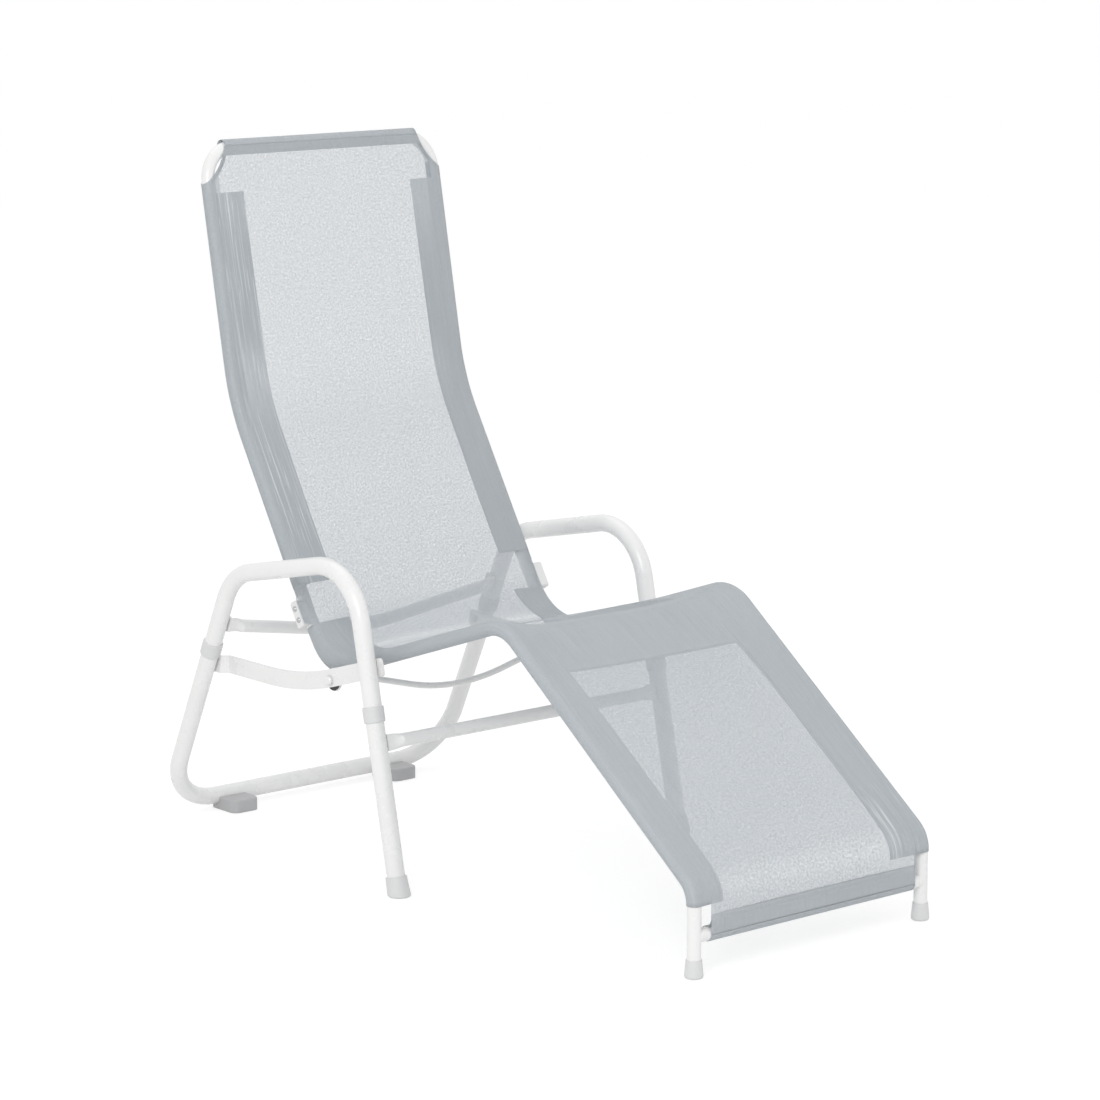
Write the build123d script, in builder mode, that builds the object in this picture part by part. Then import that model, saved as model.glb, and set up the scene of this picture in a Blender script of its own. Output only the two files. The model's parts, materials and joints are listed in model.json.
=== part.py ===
# Pool lounger: a mesh sling on a bent seat frame that tips in a tube stand.
# Millimetres, +Z up, the floor at z = 0. +Y points to the head end, -Y to the foot end,
# and the plane x = 0 halves the lounger. The origin is on the floor at the middle.

import os
from math import atan2, cos, degrees, radians, sin, sqrt, tan

from build123d import *

os.makedirs("parts", exist_ok=True)

# Seat frame: two rails joined by the head tube, seen from the side as straight runs
# between corners. Reaches run along Y, rises along Z, angles are in degrees.
rail_d = 22.0
rail_wall = 1.5
rail_inset = 63.3            # rail axis inside the stand's tube axis
foot_corner_height = 136.0   # where the foot leg and the leg run would meet
leg_reach = 446.0
leg_angle = 36.8             # above the horizontal
seat_reach = 455.5
seat_angle = 18.65           # the seat falls towards the back
lumbar_rise = 423.5
lower_back_lean = 31.2       # from the vertical
head_rise = 426.0
upper_back_lean = 10.95
foot_bend_r = 45.0
knee_bend_r = 75.0
seat_bend_r = 75.0
lumbar_bend_r = 360.0
head_corner_r = 60.0

# The back of the frame plugs on the rails a little above the seat bend.
splice_rise = 92.6           # above the seat corner
splice_gap = 0.5
spigot_length = 90.0
spigot_wall = 2.0
spigot_clearance = 0.15

# Foot end of the seat frame
foot_bar_height = 64.0
foot_cap_height = 28.0
foot_cap_wall = 1.3          # at the top
foot_cap_flare = 2.5         # the base reaches further out than the top
foot_cap_sole = 5.0
foot_cap_round = 3.5
cap_clearance = 0.2

# Sling: mesh sheet, pockets round the rails, folded strips under its side edges
sling_t = 1.2
sling_clearance = 0.3
sling_seat_bend_r = 118.0    # the sheet rounds off the seat bend more than the rails do
strip_inset = 61.7           # its inner edge, from the rail axis
strip_seat_edge = 6.0        # how far the folded strip stays from the rail axis
strip_top_drop = 77.4        # its upper end, below the head tube
strip_gap_above = 40.5       # the gap's upper end, above the splice
strip_gap_below = 21.5       # the gap's lower end, below the splice
gap_edge_inset = 16.7        # the sheet's edge in the gap, from the rail axis
knee_band_ahead = 111.0      # of the knee, on the leg run
knee_band_behind = 54.0      # the knee, on the seat run
head_hem_margin = 1.4        # its ends stay inside the corner cuts
foot_hem_inset = 24.7        # its ends, from the rail axis
foot_hem_rise = 32.0         # above the foot bar
head_hem_width = 16.0
corner_cut_r = 100.0
corner_cut_out = 62.6        # centre of the corner cut, outside the rail axis
corner_cut_up = 24.7         # centre of the corner cut, above the head tube
pocket_end_rise = 48.0       # above the foot bar
pivot_notch_r = 18.0
sling_lift = 0.1             # the sheet just clears the pockets' round outside
gusset_out = 6.0             # webs beside the rail axis where the sheet leaves the rail
web_overlap = 1.0            # how far the webs start inside the rail's outside
web_share = 0.3              # the webs' length along the seat run

# Stand: armrests, rear frame and front legs of one tube size
stand_d = 30.0
stand_wall = 1.5
stand_span = 610.0           # tube axis to tube axis
front_foot_lead = 214.2      # the front feet stand ahead of the pivot
front_leg_lean = 12.05
arm_rise = 171.0             # arm corner above the strap's front bolt
arm_length = 342.0
arm_slope = 11.64
rear_leg_lean = 25.2
arm_bend_r = 100.0
floor_bend_r = 100.0

# Sleeves that couple the armrests with the legs
sleeve_wall = 2.35
sleeve_length = 26.0
sleeve_round_share = 0.85    # its rounded edge, of its wall
sleeve_web = 3.0
sleeve_plug_length = 34.0
sleeve_plug_wall = 2.5
sleeve_clearance = 0.15
front_sleeve_gap = 45.0      # below the strap
rear_sleeve_gap = 4.25       # above the strap

# Feet of the stand
block_sole = 7.7
block_width = 56.0
block_front = 60.0           # ahead of the floor bar's axis
block_back = 14.0            # behind the floor bar's axis
block_height = 22.0
block_round = 14.0
block_edge = 2.5
block_clearance = 0.2
front_cap_flare = 2.1        # the base reaches further out than the top
front_cap_height = 31.0
front_cap_wall = 2.4
front_cap_sole = 6.0
front_cap_round = 3.0
front_cap_lead = 2.0         # the flat base reaches ahead of the leg's axis

# Bars between the two sides of the stand
front_bar_d = 22.0
front_bar_gap = 22.0         # below the front sleeve
rear_bar_d = 22.0
rear_bar_gap = 23.25         # above the rear sleeve
rear_bar_drop = 55.6         # at the middle, before its wide bend
rear_bar_bend_r = 480.0
bar_wall = 1.5
bar_end_length = 28.0        # pressed flat over this length
bar_end_height = 27.0
bar_end_t = 5.0
bar_end_round_share = 0.4    # of its thickness
bar_bolt_gap = 0.5           # between the flat end and the bolt's head behind it
bar_flange_rim = 2.0         # past the bolt's head
bar_flange_round = 4.0
front_bar_shift = 4.5        # ahead of the leg's axis
rear_bar_shift = 8.0
flange_gap = 0.2

# Side straps that carry the seat
strap_height = 30.0
strap_t = 5.0
strap_inset = 12.0           # strap face to the inner side of the stand tube
strap_drop = 21.5            # its level rear run, below the pivot
strap_rise_angle = 16.7      # of its front run
strap_corner_back = 83.7     # behind the pivot
strap_bend_r = 613.0
strap_step_length = 8.0
strap_step_r = 4.0
strap_flange_length = 34.0
strap_end_round = 7.0

# Pivot of the seat
pivot_ahead = 49.5           # of the seat corner
pivot_drop = 16.6            # below the rail's axis
pivot_bolt_d = 8.0
pivot_bolt_grip = 17.0       # how far the bolt reaches into the lug
pivot_clearance = 0.05
bush_d = 12.0
bush_clearance = 0.05
bush_flange_d = 18.0
bush_flange_t = 1.5
disc_d = 38.0
disc_t = 3.5
disc_round = 1.0
washer_d = 36.0
washer_t = 1.5
lug_d = 18.0
lug_inner_end = 6.0          # inside the rail's axis
pivot_head_d = 14.0
pivot_head_t = 4.5
axial_play = 0.3

# Thin stretcher between the rails at the pivots
stretcher_d = 10.5
stretcher_behind = 6.0       # the pivot
stretcher_above = 4.0        # the pivot
stretcher_drop = 65.0
stretcher_back = 10.0
stretcher_bend_r = 380.0

# Stop pads on the rails, over the splices, each with two screws
pad_length = 46.0
pad_height = 18.0
pad_gap = 6.3                # to the strap's inner face
pad_round = 4.0
pad_screw_step = 20.0
pad_screw_d = 5.0
pad_screw_head_d = 9.0
pad_screw_head_t = 2.4
pad_screw_grip = 4.5         # past the rail's outside

# Screws of the stand
bolt_d = 6.0
bolt_clearance = 0.2
bolt_head_d = 12.0
bolt_head_t = 3.3
bolt_grip = 8.0              # into the tube
head_taper = 35              # of every domed screw head, degrees

cut_over = 5.0               # overrun of every cut

rail_r = rail_d / 2
stand_r = stand_d / 2
half_stand = stand_span / 2
seat_span = stand_span - 2 * rail_inset
half_seat = seat_span / 2
foot_cap_top_d = rail_d + 2 * (cap_clearance + foot_cap_wall)
foot_cap_base_d = foot_cap_top_d + 2 * foot_cap_flare
front_cap_d = stand_d + 2 * (front_cap_wall + front_cap_flare)
sleeve_d = stand_d + 2 * (sleeve_clearance + sleeve_wall)


def run_up(height, lean):
    """How far a run that leans from the vertical travels along Y over a height."""
    return height * tan(radians(lean))


# Side view corners of the seat frame, measured from the foot legs along Y
knee_corner = (leg_reach, foot_corner_height + leg_reach * tan(radians(leg_angle)))
seat_corner = (leg_reach + seat_reach, knee_corner[1] - seat_reach * tan(radians(seat_angle)))
lumbar_corner = (seat_corner[0] + run_up(lumbar_rise, lower_back_lean), seat_corner[1] + lumbar_rise)
head_corner = (lumbar_corner[0] + run_up(head_rise, upper_back_lean), lumbar_corner[1] + head_rise)
foot_corner = (0, foot_corner_height)
splice_height = seat_corner[1] + splice_rise

# The pivot lies under the rail, just ahead of the seat bend, and carries the stand.
pivot_reach = seat_corner[0] - pivot_ahead
pivot_height = seat_corner[1] + pivot_ahead * tan(radians(seat_angle)) - pivot_drop
pivot = (pivot_reach, pivot_height)
front_foot_reach = pivot_reach - front_foot_lead
strap_level = pivot_height - strap_drop
strap_corner_reach = pivot_reach + strap_corner_back
strap_slope = tan(radians(strap_rise_angle))
front_lean_slope = tan(radians(front_leg_lean))

# The strap's front bolt is where its axis crosses the front leg's axis.
strap_front_height = (strap_level + (strap_corner_reach - front_foot_reach) * strap_slope) / (
    1 + front_lean_slope * strap_slope
)

# Sleeves and crossbars follow the strap along the legs.
front_share = cos(radians(front_leg_lean))
rear_share = cos(radians(rear_leg_lean))
sleeve_step = (strap_height + sleeve_length) / 2
bar_step = (bar_end_height + sleeve_length) / 2
front_sleeve_height = strap_front_height - (sleeve_step + front_sleeve_gap) * front_share
front_bar_height = front_sleeve_height - (bar_step + front_bar_gap) * front_share
rear_sleeve_height = strap_level + strap_height / 2 + rear_sleeve_gap + sleeve_length / 2 * rear_share
rear_bar_height = rear_sleeve_height + (bar_step + rear_bar_gap) * rear_share
bar_bolt_step = (bar_end_t + bolt_head_d) / 2 + bar_bolt_gap
bar_flange_reach = bolt_head_d / 2 + bar_flange_rim

# Side view corners of the stand
arm_front_height = strap_front_height + arm_rise
arm_front = (front_foot_reach + run_up(arm_front_height, front_leg_lean), arm_front_height)
arm_back = (
    arm_front[0] + arm_length * cos(radians(arm_slope)),
    arm_front[1] - arm_length * sin(radians(arm_slope)),
)
floor_bar_height = block_sole + stand_r
floor_bar_reach = arm_back[0] + run_up(arm_back[1] - floor_bar_height, rear_leg_lean)

# The origin is midway between the foot caps' front and the floor bar's back.
middle_reach = (floor_bar_reach + stand_r - foot_cap_base_d / 2) / 2


def at(x, corner):
    """A point from its place across and its side view (reach, height)."""
    return Vector(x, corner[0] - middle_reach, corner[1])


def front_leg_at(height):
    return (front_foot_reach + run_up(height, front_leg_lean), height)


def rear_leg_at(height):
    return (arm_back[0] + run_up(arm_back[1] - height, rear_leg_lean), height)


def along(start, end, share):
    """The point at a share of the way between two side view points."""
    return (start[0] + share * (end[0] - start[0]), start[1] + share * (end[1] - start[1]))


def lower_back_at(height):
    return along(seat_corner, lumbar_corner, (height - seat_corner[1]) / lumbar_rise)


def sweep_round(corners, radii, outer_d, wall=0, mode=Mode.ADD):
    """A round tube, or a rod with no wall, along straight runs and tangent bends."""
    with BuildLine() as route:
        if radii:
            FilletPolyline(*corners, radius=radii)
        else:
            Line(*corners)
    with BuildSketch(Plane(origin=route.line @ 0, z_dir=route.line % 0)) as section:
        Circle(outer_d / 2)
        if wall:
            Circle(outer_d / 2 - wall, mode=Mode.SUBTRACT)
    sweep(section.sketch, path=route.line, mode=mode)


def drill_x(x_from, x_to, corner, diameter):
    """A round hole along X between two places."""
    face = Plane(origin=at(x_from, corner), x_dir=(0, 1, 0), z_dir=(x_to - x_from, 0, 0))
    with BuildSketch(face) as hole:
        Circle(diameter / 2)
    extrude(hole.sketch, amount=abs(x_to - x_from), mode=Mode.SUBTRACT)


def save(part, name):
    part.label = name
    export_step(part, f"parts/{name}.step")


def save_pair(left, name):
    """Writes a left piece and its mirror image on the right."""
    save(left.part, f"left_{name}")
    with BuildPart() as right:
        mirror(left.part, about=Plane.YZ)
    save(right.part, f"right_{name}")


# Splices, and the two screws of each stop pad either side of them
splice = lower_back_at(splice_height)
back_axis = (at(0, lumbar_corner) - at(0, seat_corner)).normalized()
pad_screw_rise = pad_screw_step / 2 * back_axis.Z
bow_screw_at = lower_back_at(splice_height + pad_screw_rise)
rail_screw_at = lower_back_at(splice_height - pad_screw_rise)
screw_hole_d = pad_screw_d + bolt_clearance


def splice_plane(offset):
    """A plane square to the left rail, at a distance up from its splice."""
    return Plane(origin=at(-half_seat, splice) + back_axis * offset, z_dir=back_axis)


# Seat frame: the back, one bow from splice to splice
with BuildPart() as back_bow:
    start = splice_plane(splice_gap / 2).origin
    bow_corners = [
        start,
        at(-half_seat, lumbar_corner),
        at(-half_seat, head_corner),
        at(half_seat, head_corner),
        at(half_seat, lumbar_corner),
        Vector(-start.X, start.Y, start.Z),
    ]
    bow_radii = [lumbar_bend_r, head_corner_r, head_corner_r, lumbar_bend_r]
    sweep_round(bow_corners, bow_radii, rail_d, rail_wall)
    for side in (-1, 1):
        drill_x(side * half_seat, side * (half_seat + rail_r + cut_over), bow_screw_at, screw_hole_d)
save(back_bow.part, "back_bow")

# Seat frame: a rail from the splice to the foot, its lower end in the foot cap
with BuildPart() as seat_rail:
    rail_corners = [
        splice_plane(-splice_gap / 2).origin,
        at(-half_seat, seat_corner),
        at(-half_seat, knee_corner),
        at(-half_seat, foot_corner),
        at(-half_seat, (0, foot_cap_sole)),
    ]
    rail_radii = [seat_bend_r, knee_bend_r, foot_bend_r]
    sweep_round(rail_corners, rail_radii, rail_d, rail_wall)
    drill_x(-half_seat, -half_seat - rail_r - cut_over, rail_screw_at, screw_hole_d)
save_pair(seat_rail, "seat_rail")

# The spigot inside each splice, held by both screws of the stop pad
spigot_r = rail_r - rail_wall - spigot_clearance
with BuildPart() as rail_spigot:
    with BuildSketch(splice_plane(-spigot_length / 2)):
        Circle(spigot_r)
        Circle(spigot_r - spigot_wall, mode=Mode.SUBTRACT)
    extrude(amount=spigot_length)
    for screw_at in (bow_screw_at, rail_screw_at):
        drill_x(-half_seat, -half_seat - rail_r - cut_over, screw_at, screw_hole_d)
save_pair(rail_spigot, "rail_spigot")

# The bar across the foot legs, its ends hollowed to fit them
foot_bar_corner = (0, foot_bar_height)
with BuildPart() as foot_bar:
    sweep_round([at(-half_seat, foot_bar_corner), at(half_seat, foot_bar_corner)], [], rail_d, rail_wall)
    for side in (-1, 1):
        with BuildSketch(Plane(origin=at(side * half_seat, (0, foot_bar_height - rail_d)))):
            Circle(rail_r)
        extrude(amount=2 * rail_d, mode=Mode.SUBTRACT)
save(foot_bar.part, "foot_bar")

# Foot caps of the seat: flared cups with a rounded edge
with BuildPart() as foot_cap:
    with BuildSketch(Plane(origin=at(-half_seat, (0, 0)))):
        Circle(foot_cap_base_d / 2)
    with BuildSketch(Plane(origin=at(-half_seat, (0, foot_cap_height)))):
        Circle(foot_cap_top_d / 2)
    loft()
    fillet(foot_cap.edges().group_by(Axis.Z)[0], foot_cap_round)
    with BuildSketch(Plane(origin=at(-half_seat, (0, foot_cap_sole)))):
        Circle(rail_r + cap_clearance)
    extrude(amount=foot_cap_height, mode=Mode.SUBTRACT)
save_pair(foot_cap, "foot_cap")


# Armrest: from the rear sleeve up over the arm and down to the front sleeve
front_sleeve = front_leg_at(front_sleeve_height)
rear_sleeve = rear_leg_at(rear_sleeve_height)
front_axis = (at(0, arm_front) - at(0, front_leg_at(0))).normalized()
rear_axis = (at(0, arm_back) - at(0, rear_leg_at(0))).normalized()


def side_point(corner, axis, offset):
    """A point on the left side, moved along a leg's axis."""
    return at(-half_stand, corner) + axis * offset


def strap_front_run(reach):
    return strap_level + (strap_corner_reach - reach) * strap_slope


strap_front_bolt = front_leg_at(strap_front_height)
strap_rear_bolt = rear_leg_at(strap_level)
front_bar_bolt = front_leg_at(front_bar_height)
rear_bar_bolt = rear_leg_at(rear_bar_height)
bolt_hole_d = bolt_d + bolt_clearance


def beside(corner, axis, shift):
    """A side view point moved square to an axis, towards the back."""
    return (corner[0] + shift * axis.Z, corner[1] - shift * axis.Y)


front_bar_root = beside(front_bar_bolt, front_axis, -front_bar_shift)
rear_bar_root = beside(rear_bar_bolt, rear_axis, -rear_bar_shift)
front_bar_screw = beside(front_bar_root, front_axis, bar_bolt_step)
rear_bar_screw = beside(rear_bar_root, rear_axis, bar_bolt_step)

with BuildPart() as armrest:
    arm_corners = [
        side_point(rear_sleeve, rear_axis, sleeve_web / 2 + sleeve_clearance),
        at(-half_stand, arm_back),
        at(-half_stand, arm_front),
        side_point(front_sleeve, front_axis, sleeve_web / 2 + sleeve_clearance),
    ]
    sweep_round(arm_corners, [arm_bend_r, arm_bend_r], stand_d, stand_wall)
    drill_x(-half_stand, -half_stand + stand_r + cut_over, strap_front_bolt, bolt_hole_d)
    drill_x(-half_stand, -half_stand + stand_r + cut_over, rear_bar_screw, bolt_hole_d)
save_pair(armrest, "armrest")

with BuildPart() as front_leg:
    leg_ends = [
        side_point(front_sleeve, front_axis, -sleeve_web / 2 - sleeve_clearance),
        side_point(front_leg_at(front_cap_sole + stand_r * front_lean_slope), front_axis, 0),
    ]
    sweep_round(leg_ends, [], stand_d, stand_wall)
    drill_x(-half_stand, -half_stand + stand_r + cut_over, front_bar_screw, bolt_hole_d)
save_pair(front_leg, "front_leg")

with BuildPart() as rear_frame:
    top = side_point(rear_sleeve, rear_axis, -sleeve_web / 2 - sleeve_clearance)
    floor_corner = (floor_bar_reach, floor_bar_height)
    frame_corners = [
        top,
        at(-half_stand, floor_corner),
        at(half_stand, floor_corner),
        Vector(-top.X, top.Y, top.Z),
    ]
    sweep_round(frame_corners, [floor_bend_r, floor_bend_r], stand_d, stand_wall)
    for side in (-1, 1):
        inside = half_stand - stand_r - cut_over
        drill_x(side * half_stand, side * inside, strap_rear_bolt, bolt_hole_d)
save(rear_frame.part, "rear_frame")


def make_sleeve(corner, axis):
    """A plastic coupling: a collar round both tube ends and a plug inside them."""
    centre = at(-half_stand, corner)
    collar_inner = stand_r + sleeve_clearance
    plug_outer = stand_r - stand_wall - sleeve_clearance
    with BuildSketch(Plane(origin=centre - axis * (sleeve_length / 2), z_dir=axis)) as collar:
        Circle(sleeve_d / 2)
        Circle(collar_inner, mode=Mode.SUBTRACT)
    extrude(collar.sketch, amount=sleeve_length)
    sleeve_round = sleeve_round_share * sleeve_wall
    fillet(edges().filter_by(GeomType.CIRCLE).group_by(SortBy.RADIUS)[-1], sleeve_round)
    with BuildSketch(Plane(origin=centre - axis * (sleeve_web / 2), z_dir=axis)) as web:
        Circle(sleeve_d / 2 - sleeve_round)
    extrude(web.sketch, amount=sleeve_web)
    with BuildSketch(Plane(origin=centre - axis * (sleeve_plug_length / 2), z_dir=axis)) as plug:
        Circle(plug_outer)
    extrude(plug.sketch, amount=sleeve_plug_length)
    with BuildSketch(Plane(origin=centre - axis * (sleeve_plug_length / 2), z_dir=axis)) as bore:
        Circle(plug_outer - sleeve_plug_wall)
    extrude(bore.sketch, amount=sleeve_plug_length, mode=Mode.SUBTRACT)


with BuildPart() as front_sleeve_part:
    make_sleeve(front_sleeve, front_axis)
save_pair(front_sleeve_part, "front_sleeve")

with BuildPart() as rear_sleeve_part:
    make_sleeve(rear_sleeve, rear_axis)
save_pair(rear_sleeve_part, "rear_sleeve")

# Front foot caps: a cup along the leg that widens into a flat round base
cap_top = side_point(front_leg_at(front_cap_height), front_axis, 0)
front_cap_tilt = Plane(origin=cap_top, z_dir=front_axis)
with BuildPart() as front_foot_cap:
    base_centre = at(-half_stand, (front_foot_reach - front_cap_lead, 0))
    with BuildSketch(Plane(origin=base_centre)):
        Circle(front_cap_d / 2)
    with BuildSketch(front_cap_tilt):
        Circle(stand_r + front_cap_wall)
    loft()
    fillet(front_foot_cap.faces().sort_by(Axis.Z)[0].edges(), front_cap_round)
    cup_floor = side_point(front_leg_at(front_cap_sole + stand_r * front_lean_slope), front_axis, 0)
    with BuildSketch(Plane(origin=cup_floor, z_dir=front_axis)):
        Circle(stand_r + cap_clearance)
    extrude(amount=front_cap_height + cut_over, mode=Mode.SUBTRACT)
save_pair(front_foot_cap, "front_foot_cap")

# Floor blocks: feet under the rear bar, which lies in a channel across them. Each ends
# where the bar begins to bend.
block_out = half_stand - floor_bend_r
with BuildPart() as floor_block:
    block_centre = -block_out + block_width / 2
    block_middle = floor_bar_reach + (block_back - block_front) / 2
    with BuildSketch(Plane(origin=at(block_centre, (block_middle, 0)))):
        RectangleRounded(block_width, block_front + block_back, block_round)
    extrude(amount=block_height)
    fillet(floor_block.faces().sort_by(Axis.Z)[-1].edges(), block_edge)
    channel = at(-block_out - cut_over, floor_corner)
    with BuildSketch(Plane(origin=channel, x_dir=(0, 1, 0), z_dir=(1, 0, 0))) as groove:
        Circle(stand_r + block_clearance)
        with Locations((0, stand_r)):
            Rectangle(stand_d + 2 * block_clearance, stand_d)
    extrude(groove.sketch, amount=block_width + 2 * cut_over, mode=Mode.SUBTRACT)
save_pair(floor_block, "floor_block")

# Crossbars. Each end is pressed flat, and a flange behind it lies on the tube's inner side.
flange_face = half_stand - stand_r - flange_gap


def upright(x, corner, axis):
    """A plane facing +X whose own up direction follows a leg's axis."""
    return Plane(origin=at(x, corner), x_dir=axis.cross(Vector(1, 0, 0)), z_dir=(1, 0, 0))


def add_bar_ends(root, axis, bar_d, slope):
    """Both ends of a crossbar; the slope is its fall towards the middle."""
    flange_width = bar_end_t / 2 + bar_bolt_step + bar_flange_reach
    for side in (-1, 1):
        face = upright(side * flange_face, root, axis)
        with BuildSketch(face) as flange:
            with Locations((flange_width / 2 - bar_end_t / 2, 0)):
                RectangleRounded(flange_width, bar_end_height, bar_flange_round)
        extrude(flange.sketch, amount=-side * bar_end_t)
        with BuildSketch(upright(side * (flange_face - bar_end_t / 2), root, axis)) as flat:
            RectangleRounded(bar_end_t, bar_end_height, bar_end_t * bar_end_round_share)
        with BuildSketch(upright(side * (flange_face - bar_end_t), root, axis)) as neck:
            RectangleRounded(bar_end_t, bar_end_height, bar_end_t * bar_end_round_share)
        inward = Vector(-side, 0, 0) - axis * slope
        tube_start = at(side * (flange_face - bar_end_length), root) - axis * (slope * bar_end_length)
        with BuildSketch(Plane(origin=tube_start, x_dir=face.x_dir, z_dir=inward)) as tube_end:
            Circle(bar_d / 2)
        loft([flat.sketch, neck.sketch, tube_end.sketch])


with BuildPart() as front_crossbar:
    add_bar_ends(front_bar_root, front_axis, front_bar_d, 0)
    tube_half = flange_face - bar_end_length
    tube_ends = [at(-tube_half, front_bar_root), at(tube_half, front_bar_root)]
    sweep_round(tube_ends, [], front_bar_d, bar_wall)
    for side in (-1, 1):
        drill_x(side * (flange_face + cut_over), side * tube_half, front_bar_screw, bolt_hole_d)
save(front_crossbar.part, "front_crossbar")

with BuildPart() as rear_crossbar:
    rear_bar_slope = rear_bar_drop / flange_face
    add_bar_ends(rear_bar_root, rear_axis, rear_bar_d, rear_bar_slope)
    tube_fall = rear_axis * (-rear_bar_slope * bar_end_length)
    bow_low = at(0, rear_bar_root) - rear_axis * rear_bar_drop
    bow_start = at(-tube_half, rear_bar_root) + tube_fall
    bow_end = at(tube_half, rear_bar_root) + tube_fall
    sweep_round([bow_start, bow_low, bow_end], [rear_bar_bend_r], rear_bar_d, bar_wall)
    for side in (-1, 1):
        drill_x(side * (flange_face + cut_over), side * tube_half, rear_bar_screw, bolt_hole_d)
save(rear_crossbar.part, "rear_crossbar")


def add_screw(head_face, shank_end, corner, shank_d, head_d, head_t):
    """A screw along X whose domed head sits on the given face."""
    way = 1 if shank_end > head_face else -1
    seat = Plane(origin=at(head_face, corner), z_dir=(way, 0, 0))
    with BuildSketch(seat) as shank:
        Circle(shank_d / 2)
    extrude(shank.sketch, amount=abs(shank_end - head_face))
    with BuildSketch(seat) as rim:
        Circle(head_d / 2)
    extrude(rim.sketch, amount=-head_t / 2)
    with BuildSketch(seat.offset(-head_t / 2)) as dome:
        Circle(head_d / 2)
    extrude(dome.sketch, amount=-head_t / 2, taper=head_taper)


with BuildPart() as crossbar_screws:
    head_face = flange_face - bar_end_t
    for side in (-1, 1):
        for corner in (front_bar_screw, rear_bar_screw):
            end = side * (head_face + bar_end_t + bolt_grip)
            add_screw(side * head_face, end, corner, bolt_d, bolt_head_d, bolt_head_t)
save(crossbar_screws.part, "crossbar_screws")


def shifted(corners, radii, distance):
    """A flat route moved square to its runs, positive to the left, with its bend radii."""
    points = [Vector(*corner) for corner in corners]
    runs = [(after - before).normalized() for before, after in zip(points, points[1:])]
    sides = [Vector(-run.Y, run.X) for run in runs]
    moved = [points[0] + sides[0] * distance]
    moved_radii = []
    for point, radius, before, after in zip(points[1:-1], radii, sides, sides[1:]):
        moved.append(point + (before + after) * (distance / (1 + before.dot(after))))
        turns_left = before.cross(after).Z > 0
        moved_radii.append(radius - distance if turns_left else radius + distance)
    moved.append(points[-1] + sides[-1] * distance)
    return moved, moved_radii


def draw_route(corners, radii):
    if radii:
        return FilletPolyline(*corners, radius=radii)
    return Polyline(*corners)


def add_band(corners, near, far, near_radii=(), far_radii=()):
    """The face between two routes beside the corners."""
    with BuildLine() as border:
        near_line = draw_route(*shifted(corners, near_radii or far_radii, near))
        far_line = draw_route(*shifted(corners, far_radii, far))
        Line(near_line @ 0, far_line @ 0)
        Line(near_line @ 1, far_line @ 1)
    make_face(border.edges())


def side_view(x):
    """The side view at a place across: reach along its X, height along its Y."""
    return Plane(origin=(x, -middle_reach, 0), x_dir=(0, 1, 0), z_dir=(1, 0, 0))


# Side straps: level at the back, rising to the front, each end stepped out to its tube
strap_outer_x = flange_face - strap_t / 2
strap_inner_x = half_stand - stand_r - strap_inset - strap_t / 2
strap_inner_face = strap_inner_x - strap_t / 2
strap_outer_face = strap_inner_x + strap_t / 2
half_flange = strap_flange_length / 2
strap_front_end = strap_front_bolt[0] - half_flange
strap_rear_end = strap_rear_bolt[0] + half_flange
with BuildPart() as side_strap:
    strap_route = [
        (strap_front_end, strap_front_run(strap_front_end)),
        (strap_corner_reach, strap_level),
        (strap_rear_end, strap_level),
    ]
    with BuildSketch(side_view(-flange_face)) as outline:
        add_band(strap_route, -strap_height / 2, strap_height / 2, far_radii=[strap_bend_r])
        ends = outline.vertices().sort_by(Axis.X)
        fillet(ends[:2] + ends[-2:], strap_end_round)
    extrude(outline.sketch, amount=flange_face - strap_inner_face)
    with BuildSketch(Plane(origin=(0, -middle_reach, 0))) as plan:
        plan_route = [
            (-strap_outer_x, strap_front_end - cut_over),
            (-strap_outer_x, strap_front_end + strap_flange_length),
            (-strap_inner_x, strap_front_end + strap_flange_length + strap_step_length),
            (-strap_inner_x, strap_rear_end - strap_flange_length - strap_step_length),
            (-strap_outer_x, strap_rear_end - strap_flange_length),
            (-strap_outer_x, strap_rear_end + cut_over),
        ]
        add_band(plan_route, -strap_t / 2, strap_t / 2, far_radii=[strap_step_r] * 4)
    extrude(plan.sketch, amount=2 * strap_front_height, mode=Mode.INTERSECT)
    drill_x(-flange_face, -strap_inner_face + cut_over, pivot, bush_d + 2 * bush_clearance)
    for corner in (strap_front_bolt, strap_rear_bolt):
        drill_x(-flange_face - cut_over, -strap_inner_face, corner, bolt_hole_d)
save_pair(side_strap, "side_strap")

with BuildPart() as strap_screws:
    for side in (-1, 1):
        for corner in (strap_front_bolt, strap_rear_bolt):
            head_face = flange_face - strap_t
            end = side * (flange_face + bolt_grip)
            add_screw(side * head_face, end, corner, bolt_d, bolt_head_d, bolt_head_t)
save(strap_screws.part, "strap_screws")

# Pivots: a bush in the strap, a lug under the rail, a disc on it, a washer and the bolt
lug_outer_end = strap_inner_face - axial_play - washer_t - disc_t
pivot_hole_d = pivot_bolt_d + 2 * pivot_clearance
with BuildPart() as pivot_bush:
    with BuildSketch(Plane(origin=at(-strap_inner_face, pivot), z_dir=(-1, 0, 0))) as sleeve:
        Circle(bush_d / 2)
    extrude(sleeve.sketch, amount=strap_t)
    with BuildSketch(Plane(origin=at(-strap_outer_face, pivot), z_dir=(-1, 0, 0))) as rim:
        Circle(bush_flange_d / 2)
    extrude(rim.sketch, amount=bush_flange_t)
    drill_x(-strap_inner_face + cut_over, -strap_outer_face - cut_over, pivot, pivot_hole_d)
save_pair(pivot_bush, "pivot_bush")

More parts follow.
